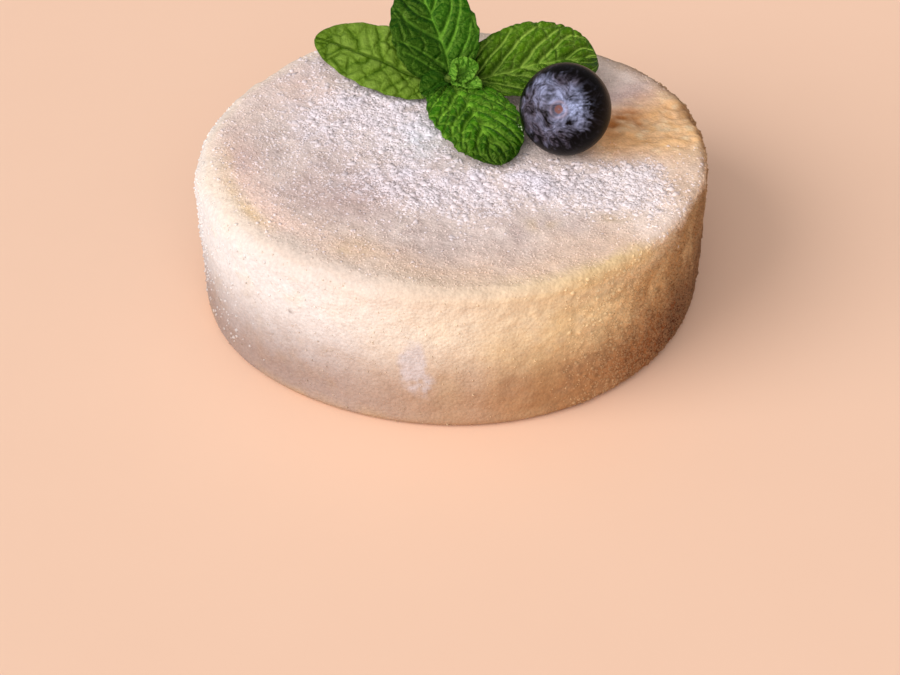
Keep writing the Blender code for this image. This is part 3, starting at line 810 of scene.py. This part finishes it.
berry_blue = np.clip(0.08 + bluest + 0.25 * swirl, 0, 1)
blueberry = add_piece("blueberry_skin", berry, ball_faces(BERRY_ROWS - 1, BERRY_COLUMNS), berry_material())
for kind, value in dict(bloom=bloom, blue=berry_blue, scar=berry_scar, collar=berry_collar).items():
    mark(blueberry, kind, value)
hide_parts("blueberry")

# The mint is one fresh sprig, cut just above the cake: a short four-sided stem, two pairs of grown leaves
# set crosswise, and crinkled young leaves at its tip. The blades are quilted between sunken side veins, with
# blunt teeth along the edge. Every leaf grows out of the same head.
SPRIG_HEAD = np.array((-0.4, 13.8, 31.8)) * MM
LEAF_THICKNESS = 0.4 * MM
STALK_HALF_WIDTH = 0.5 * MM
TIP_HALF_WIDTH = 0.12 * MM
TIP_FULLNESS = 0.557
MIDRIB_SINKS = 0.25 * MM
TROUGH_WIDTH = 0.55 * MM
EDGE_CURL = 0.25 * MM
LEAF_ROWS, LEAF_COLUMNS = 220, 100
SMALL_ROWS, SMALL_COLUMNS = 100, 50

# A tooth stands out by a share of the leaf's half width. Where the teeth are many it is shallower, by their
# number squared.
TOOTH_DEPTH = 0.05
TOOTH_CROWDING = 2.4

# Each leaf: base and tip (mm from the sprig's head), the way its face looks, its width in mm, how full it is
# near the base (smaller is fuller), how far it arches along its length and folds up across it (in radians),
# its teeth and side veins on each side, how far the veins slant, how deep in mm it is quilted between them,
# its net (how large and how deep the cells are in mm, and how strongly drawn), how far its midrib leans to
# one side, how much one half is darkened as painted shade (below 0 the half towards its own left), its
# painted shade (how deep it is at the base, how far along it reaches, and how deep it is at the tip), and
# its
# greens: blade, puff between the veins, and vein. The pale veins of the right, back and front leaves and the
# pale puffs of the left leaf are partly painted light on the ridges and bulges.
SMALL_LEAF = dict(full=0.42, teeth=3, slant=0.8, lean=0, shaded_half=0, deep=(0.95, 0.24, 0))
YOUNG_LEAF = dict(
    SMALL_LEAF, veins=4, quilt=0.35, net=(0.9, 0.28, 0.55),
    blade=(0.05, 0.17, 0.004), puff=(0.25, 0.47, 0.06), vein=(0.08, 0.22, 0.02))
LEAVES = {
    "left": dict(
        base=(-0.3, 1.0, -1.5), tip=(-24.0, 10.0, 2.6), faces=(0, -0.71, 0.71), width=11.6, full=0.42,
        arch=0.35, fold=0.05, teeth=6, veins=6, slant=0.65, quilt=0.30, net=(2.4, 0.18, 0.90), lean=0.24,
        shaded_half=0.1, deep=(0, 0.15, 0.2),
        blade=(0.064, 0.130, 0.003), puff=(0.140, 0.225, 0.030), vein=(0.018, 0.056, 0.001)),
    "right": dict(
        base=(0.3, 1.0, -1.5), tip=(26.0, 8.2, -0.4), faces=(0, -0.5, 0.86), width=14.4, full=0.72,
        arch=0.5, fold=0.28, teeth=12, veins=6, slant=1.5, quilt=1.00, net=(2.1, 0.24, 0.40), lean=-0.16,
        shaded_half=-0.5, deep=(0.9, 0.5, 0),
        blade=(0.008, 0.050, 0.001), puff=(0.068, 0.170, 0.003), vein=(0.32, 0.50, 0.07)),
    "back": dict(
        base=(-0.2, 0.5, -0.4), tip=(-6.2, 12.8, 12.8), faces=(0.05, -0.7, 0.7), width=15.0, full=0.42,
        arch=0.45, fold=0.12, teeth=7, veins=5, slant=1.2, quilt=0.50, net=(2.2, 0.14, 0.28), lean=-0.08,
        shaded_half=0.5, deep=(0.95, 0.24, 0),
        blade=(0.003, 0.043, 0.001), puff=(0.006, 0.066, 0.001), vein=(0.11, 0.28, 0.022)),
    "front": dict(
        base=(0.1, -0.5, -0.6), tip=(8.4, -22.4, -3.4), faces=(0.1, -0.1, 1.0), width=15.4, full=0.50,
        arch=0.6, fold=-0.1, teeth=8, veins=6, slant=1.2, quilt=1.05, net=(1.8, 0.30, 0.65), lean=-0.12,
        shaded_half=-0.1, deep=(0.95, 0.20, 0.65),
        blade=(0.002, 0.032, 0.001), puff=(0.036, 0.158, 0.001), vein=(0.27, 0.55, 0.045)),
    "low": dict(
        SMALL_LEAF, base=(-0.3, -0.3, 0), tip=(-5.1, -3.2, -1.2), faces=(-0.2, -0.7, 0.7), width=5.6,
        arch=0.5, fold=0.1, veins=3, quilt=0.12, net=(1.6, 0.05, 0.2),
        blade=(0.005, 0.038, 0.001), puff=(0.008, 0.050, 0.001), vein=(0.02, 0.08, 0.005)),
    "young_back": dict(
        YOUNG_LEAF, base=(0.2, 0, 0.2), tip=(4.8, 1.2, 2.3), faces=(-0.1, -0.5, 0.8), width=5.0,
        arch=-0.5, fold=0.4, puff=(0.27, 0.50, 0.07)),
    "young_front": dict(
        YOUNG_LEAF, base=(0.3, -0.2, 0), tip=(5.3, -3.7, 0.3), faces=(0.2, -0.2, 0.9), width=4.6,
        arch=-0.4, fold=0.35),
    "bud": dict(
        YOUNG_LEAF, base=(0, -0.1, 0.3), tip=(0.8, -1.2, 3.6), faces=(0.9, -0.3, 0.3), width=3.0,
        arch=-0.4, fold=0.5, veins=3, quilt=0.20, net=(0.8, 0.22, 0.55)),
}


def leaf_half_width(share, width, full):
    """Half of a leaf's width along its length: full near the base, widest before the middle, blunt tip."""
    widest = full / (full + TIP_FULLNESS)
    blade = (share / widest) ** full * ((1 - share) / (1 - widest)) ** TIP_FULLNESS
    return np.maximum(width / 2 * blade, np.where(share < 0.5, STALK_HALF_WIDTH, TIP_HALF_WIDTH))


def to_side_vein(phase, half, seed):
    """Distance to the nearest side vein, as a share of their spacing.

    Each vein is shifted a little at random, and the two halves of the leaf differ.
    """
    shift = np.random.default_rng(seed).uniform(-0.2, 0.2, 64)
    nearest = np.round(phase).astype(int)
    steps = [np.abs(phase - n - shift[(n + 20 * half) % 64]) for n in (nearest - 1, nearest, nearest + 1)]
    return np.min(steps, axis=0)


def cell_walls(x, y, size, seed):
    """How near a point is to a wall between irregular cells of about that size, from 1 on it to 0 inside.

    Each cell gathers round a seed, jittered on a grid. The wall is where the two nearest are equally far.
    """
    draw = np.random.default_rng(seed)
    across, up = np.meshgrid(np.arange(x.min() - size, x.max() + size, size),
                             np.arange(y.min() - size, y.max() + size, size))
    seeds = np.stack([across.ravel(), up.ravel()], axis=-1)
    seeds = seeds + draw.uniform(-0.42, 0.42, seeds.shape) * size
    apart = np.hypot(x.ravel()[:, None] - seeds[:, 0], y.ravel()[:, None] - seeds[:, 1])
    nearest = np.partition(apart, 1, axis=1)[:, :2]
    return (1 - np.clip((nearest[:, 1] - nearest[:, 0]) / (0.4 * size), 0, 1)).reshape(x.shape)


def leaf_surface(share, across, leaf, seed):
    """A leaf's middle surface, the way it faces, and its vein, puff and shade strengths from 0 to 1.

    share runs from 0 at the base to 1 at the tip, and across from -1 to 1. The midrib is an arc and the
    blades fold up from it. Side veins leave it one after another, slant towards the tip and bend along the
    edge. The blade sinks along them and puffs up between them, a net of small cells between the veins
    crinkles the puffs, and the edge has blunt teeth.
    """
    base, tip = np.array(leaf["base"]) * MM, np.array(leaf["tip"]) * MM
    arch, width, lean = leaf["arch"], leaf["width"] * MM, leaf["lean"]
    length = np.linalg.norm(tip - base) * (arch / 2) / np.sin(arch / 2)
    forward, side, up = axes_from(tip - base, leaf["faces"])
    turn = arch * (0.5 - share)
    x = length / arch * (np.sin(arch / 2) - np.sin(turn))
    z = length / arch * (np.cos(turn) - np.cos(arch / 2))

    # flat is the leaf laid out flat, which the noise reads. beside is 0 on the midrib and 1 at the edge.
    half = leaf_half_width(share, width, leaf["full"])
    flat = np.stack([share * length, across * half, 0 * share], axis=-1).reshape(-1, 3)
    lean = lean * (1 - share) + 0.06 * bumps(flat * [1, 0, 0], width / 3, seed + 4).reshape(share.shape)
    aside = across - lean
    beside = np.abs(aside) / (1 - lean * np.sign(aside))
    in_blade = np.clip(7 * share * (1 - share), 0, 1)
    slant = leaf["slant"]
    run = np.hypot(1, slant)
    wander = rough(flat, width / 4, seed, 2).reshape(share.shape)
    phase = leaf["veins"] * (share - slant * width / 2 / length * beside**1.2)
    phase = phase + 0.16 * wander + 0.4 * (aside > 0)
    off = to_side_vein(phase, (aside > 0).astype(int), seed + 5) * length / leaf["veins"] / run

    # The net lies along the side veins: its cells are measured over them and beside them.
    cell, depth, drawn = leaf["net"]
    from_rib = np.abs(aside * half) + 0.3 * MM * wander
    over_veins = (share * length - slant * from_rib) / run
    beside_veins = (slant * share * length + from_rib) / run * np.sign(aside) / 1.25
    walls = cell_walls(over_veins, beside_veins, cell * MM, seed + 1)
    patchy = np.clip(0.75 + 0.8 * bumps(flat, width / 3, seed + 7), 0.5, 1).reshape(share.shape)
    walls = walls * patchy**0.5
    veins = bump_at(off, 0, (0.27 - 0.09 * beside) * MM) * np.clip((0.97 - beside) * 6, 0, 1)
    trough = bump_at(off, 0, TROUGH_WIDTH) * (1 - 0.5 * beside)
    midrib = bump_at(aside * half, 0, (0.12 + 0.22 * (1 - share)) * MM)

    # A tooth rises over seven tenths of its length and falls back over the rest.
    saw = leaf["teeth"] * (share - 0.1 * beside) + 0.1 * wander
    saw = saw - np.floor(saw)
    tooth = np.where(saw < 0.7, saw / 0.7, (1 - saw) / 0.3)
    tooth_depth = min(TOOTH_DEPTH, TOOTH_CROWDING / leaf["teeth"] ** 2)
    reach = across * half * (1 + tooth_depth * (tooth - 0.3) * beside**6)
    puffed = in_blade * (1 - beside**3) * (1 - midrib)
    lift = np.abs(aside * half) * np.tan(leaf["fold"]) + leaf["quilt"] * MM * (0.5 - trough) * puffed
    lift = lift - depth * MM * 2 * (walls**2 - 0.3) * in_blade * (1 - midrib)
    lift = lift + 0.5 * depth * MM * rough(flat, 0.9 * MM, seed + 6, 1).reshape(share.shape)
    lift = lift - MIDRIB_SINKS * midrib
    curl = (EDGE_CURL * bumps(flat, width / 3, seed + 2)).reshape(share.shape) * beside**2
    facing = np.sin(-turn)[..., None] * forward + np.cos(turn)[..., None] * up
    middle = x[..., None] * forward + reach[..., None] * side + z[..., None] * up
    middle = middle + (lift + curl)[..., None] * facing + base + SPRIG_HEAD
    vein = np.clip(np.maximum(np.maximum(veins, drawn * walls**3), midrib), 0, 1)
    puff = (1 - trough) * (1 - walls**2) * in_blade

    # Painted shade: the leaf darkens near its base, towards its tip and over one half.
    shaded_half = leaf["shaded_half"]
    at_base, base_reach, at_tip = leaf["deep"]
    shade = at_base * np.clip(1 - share / base_reach, 0, 1)
    shade = np.maximum(shade, at_tip * np.clip((share - 0.62) / 0.3, 0, 1))
    shade = np.maximum(shade, np.abs(shaded_half) * np.clip(aside * np.sign(shaded_half) * 6, 0, 1))
    return middle, facing, {"vein": vein, "puff": puff, "shade": shade}


def leaf_material(name, blade, puff, vein):
    """Fresh leaf green with a soft gloss: paler puffs, veins in their own green, and a fine uneven grain.

    It is darkened as painted shade near the sprig's head, towards the tip where a leaf asks for it, and on
    its dimmed half. The pale veins of the right, back and front leaves and the pale puffs of the left leaf
    are partly painted light on the ridges and bulges.
    """
    made, tree, shader, place = new_material(
        name, 0.26, Specular_IOR_Level=0.42, Specular_Tint=(0.68, 1.0, 0.13, 1))
    fine = noise(tree, place, 0.6 * MM, 3, 0.6)
    slow = noise(tree, place, 3 * MM, 2, 0.5)
    color = blend(tree, read_mark(tree, "puff"), blade, puff)
    color = blend(tree, spread(tree, slow, 0.4, 0.7, 0, 0.5), color, blade)
    # On the right, back and front leaves the pale vein green is partly painted highlight along the ridges.
    color = blend(tree, maths(tree, "MULTIPLY", read_mark(tree, "vein"), 0.8), color, vein)
    color = blend(tree, spread(tree, fine, 0.5, 0.75, 0, 0.4), color, vein)
    # Painted shade: the shade mark darkens the green.
    color = blend(tree, read_mark(tree, "shade"), color, tuple(0.25 * part for part in blade))
    tree.links.new(color, shader.inputs["Base Color"])
    tree.links.new(spread(tree, fine, 0.3, 0.7, 0.15, 0.33), shader.inputs["Roughness"])
    raise_by(tree, shader, fine, 0.25 * MM)
    return made


def leaf_solid(rows, columns, leaf, seed):
    """A thin closed leaf: its middle surface moved half a thickness each way, thinner towards the edge."""
    step = np.linspace(0, 1, rows)
    step = step + 0.4 * ((1 - np.cos(np.pi * step)) / 2 - step)
    share, across = np.meshgrid(step, np.linspace(-1, 1, columns + 1), indexing="ij")
    middle, facing, marks = leaf_surface(share, across, leaf, seed)
    half = LEAF_THICKNESS / 2 * (1 - 0.6 * np.abs(across) ** 4)
    points = np.vstack([(middle + s * half[..., None] * facing).reshape(-1, 3) for s in (1, -1)])
    place = np.arange(rows * (columns + 1)).reshape(rows, columns + 1)
    top = np.stack([place[:-1, :-1], place[:-1, 1:], place[1:, 1:], place[1:, :-1]], axis=-1).reshape(-1, 4)
    rim = np.concatenate([place[:-1, 0], place[-1, :-1], place[:0:-1, -1], place[0, :0:-1]])
    onward = np.roll(rim, -1)
    edge = np.stack([rim, onward, onward + place.size, rim + place.size], axis=-1)
    faces = np.vstack([top, (top + place.size)[:, ::-1], edge])
    return points, faces, {name: np.tile(value.ravel(), 2) for name, value in marks.items()}


for seed, (name, leaf) in enumerate(LEAVES.items(), start=70):
    grown = leaf["teeth"] > 3
    rows, columns = (LEAF_ROWS, LEAF_COLUMNS) if grown else (SMALL_ROWS, SMALL_COLUMNS)
    points, faces, marks = leaf_solid(rows, columns, leaf, seed * 10)
    title = "mint leaf " + name.replace("_", " ")
    material = leaf_material(title, leaf["blade"], leaf["puff"], leaf["vein"])
    made = add_piece("mint_leaf_" + name, points, faces.tolist(), material)
    for kind, value in marks.items():
        mark(made, kind, value)
    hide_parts("mint_sprig")
    if name == "front":
        upper_face = points[:len(points) // 2]

# A few grains of sugar have caught on the front leaf's edge, beside the berry. They are small and half sunk,
# and have taken some of the leaf's green.
CAUGHT_GRAINS = 7
CAUGHT_COLOR = (0.44, 0.56, 0.29)
CAUGHT_FACING = (0.3, 0, 0.95)
draw = np.random.default_rng(81)
near_berry = hill(upper_face[:, 0], upper_face[:, 1], (11.9, 0.4), 0.9, 1.9)
caught = upper_face[draw.choice(len(upper_face), CAUGHT_GRAINS, p=near_berry / near_berry.sum())]
radius = draw.uniform(0.12, 0.28, CAUGHT_GRAINS) * MM
facing = np.tile(CAUGHT_FACING, (CAUGHT_GRAINS, 1))
leaf_sugar = add_lumps("leaf_sugar", TWENTY_SIDED, caught, facing, radius, -0.1, grain, draw)
dye(leaf_sugar, np.tile(CAUGHT_COLOR, (len(leaf_sugar.data.vertices), 1)))

# The stem is cut short just above the cake. It carries every leaf, and is darkened as painted shade where
# they meet.
STEM_FOOT = np.array((-0.4, 16.6, 28.4)) * MM
STEM_RADIUS = 0.85 * MM
HEAD_RADIUS = 1.2 * MM
STEM_ROWS, STEM_SIDES = 40, 32
STEM_GREENS = ((0.12, 0.22, 0.03), (0.16, 0.28, 0.05), (0.22, 0.33, 0.08))


def stem_points(rows, sides):
    """The stem: a ball where the leaves meet, drawn out into a short four-sided stalk down to the cake."""
    share, turn = np.meshgrid(np.linspace(0, 1, rows), 2 * np.pi * np.arange(sides) / sides, indexing="ij")
    forward, side, up = axes_from(STEM_FOOT - SPRIG_HEAD, (0, -1, 0))
    along = share * (np.linalg.norm(STEM_FOOT - SPRIG_HEAD) + HEAD_RADIUS) - HEAD_RADIUS
    ball = np.sqrt(np.clip(HEAD_RADIUS**2 - along**2, 0, None))
    radius = np.maximum(ball, np.where(share > 0.1, STEM_RADIUS, 0.3 * STEM_RADIUS))
    radius = radius * (1 + 0.07 * np.cos(4 * turn))
    points = SPRIG_HEAD + along[..., None] * forward + (radius * np.cos(turn))[..., None] * side
    points = (points + (radius * np.sin(turn))[..., None] * up).reshape(-1, 3)
    return np.vstack([points, points[:sides].mean(axis=0), points[-sides:].mean(axis=0)])


points = stem_points(STEM_ROWS, STEM_SIDES)
material = leaf_material("mint stem", *STEM_GREENS)
stem = add_piece("mint_stem", points, ball_faces(STEM_ROWS, STEM_SIDES), material)
# Painted shade at the head, where the leaves meet.
mark(stem, "shade", np.clip(1.6 - np.linalg.norm(points - SPRIG_HEAD, axis=1) / (2 * MM), 0, 0.95))
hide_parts("mint_sprig")

# The scene: a plain peach floor, a broad cool light from the left, weaker ones from the front and the right,
# and a camera that looks down at the cake as the photograph does.
FLOOR_HALF = 4.0
FLOOR_PEACH, FLOOR_MOTTLE = (0.90, 0.600, 0.425), (0.895, 0.595, 0.420)
floor_mesh = bpy.data.meshes.new("floor")
corners = [(x * FLOOR_HALF, y * FLOOR_HALF, 0) for x, y in ((-1, -1), (1, -1), (1, 1), (-1, 1))]
floor_mesh.from_pydata(corners, [], [(0, 1, 2, 3)])
floor = bpy.data.objects.new("floor", floor_mesh)
bpy.context.scene.collection.objects.link(floor)
floor_material, tree, shader, place = new_material("pale peach floor", 0.8)
mottle = spread(tree, noise(tree, place, 0.02, 3), 0.3, 0.7)
tree.links.new(blend(tree, mottle, FLOOR_PEACH, FLOOR_MOTTLE), shader.inputs["Base Color"])
floor_mesh.materials.append(floor_material)


def add_light(name, azimuth, elevation, softness, strength, color):
    """A distant lamp, even over the whole floor. Azimuth 0 is in front of the cake and 90 to its right.

    softness is how wide the lamp looks from the cake. All three angles are in degrees.
    """
    lamp = bpy.data.lights.new(name, "SUN")
    lamp.angle, lamp.energy, lamp.color = np.radians(softness), strength, color
    made = bpy.data.objects.new(name, lamp)
    made.rotation_euler = (np.radians(90 - elevation), 0, np.radians(azimuth))
    bpy.context.scene.collection.objects.link(made)


add_light("key", -62, 31, 46, 2.45, (1.0, 0.98, 1.0))
add_light("front", -8, 40, 60, 1.35, (0.98, 0.98, 1.0))
add_light("warm", 75, 28, 60, 0.25, (1.0, 0.70, 0.45))

FILL_COLOR, FILL_STRENGTH = (0.97, 0.95, 1.0, 1), 0.32
world = bpy.data.worlds.new("studio")
world.use_nodes = True
world.node_tree.nodes["Background"].inputs["Color"].default_value = FILL_COLOR
world.node_tree.nodes["Background"].inputs["Strength"].default_value = FILL_STRENGTH
bpy.context.scene.world = world
bpy.context.scene.view_settings.view_transform = "Standard"

CAMERA_PLACE = (-0.5 * MM, -269.74 * MM, 192.68 * MM)
CAMERA_PITCH = 37.5
CAMERA_LENS, SENSOR_WIDTH = 74.26, 36
camera_data = bpy.data.cameras.new("camera")
camera_data.sensor_width = SENSOR_WIDTH
camera_data.lens = CAMERA_LENS
camera = bpy.data.objects.new("camera", camera_data)
camera.location = CAMERA_PLACE
camera.rotation_euler = (np.radians(90 - CAMERA_PITCH), 0, 0)
bpy.context.scene.collection.objects.link(camera)
bpy.context.scene.camera = camera
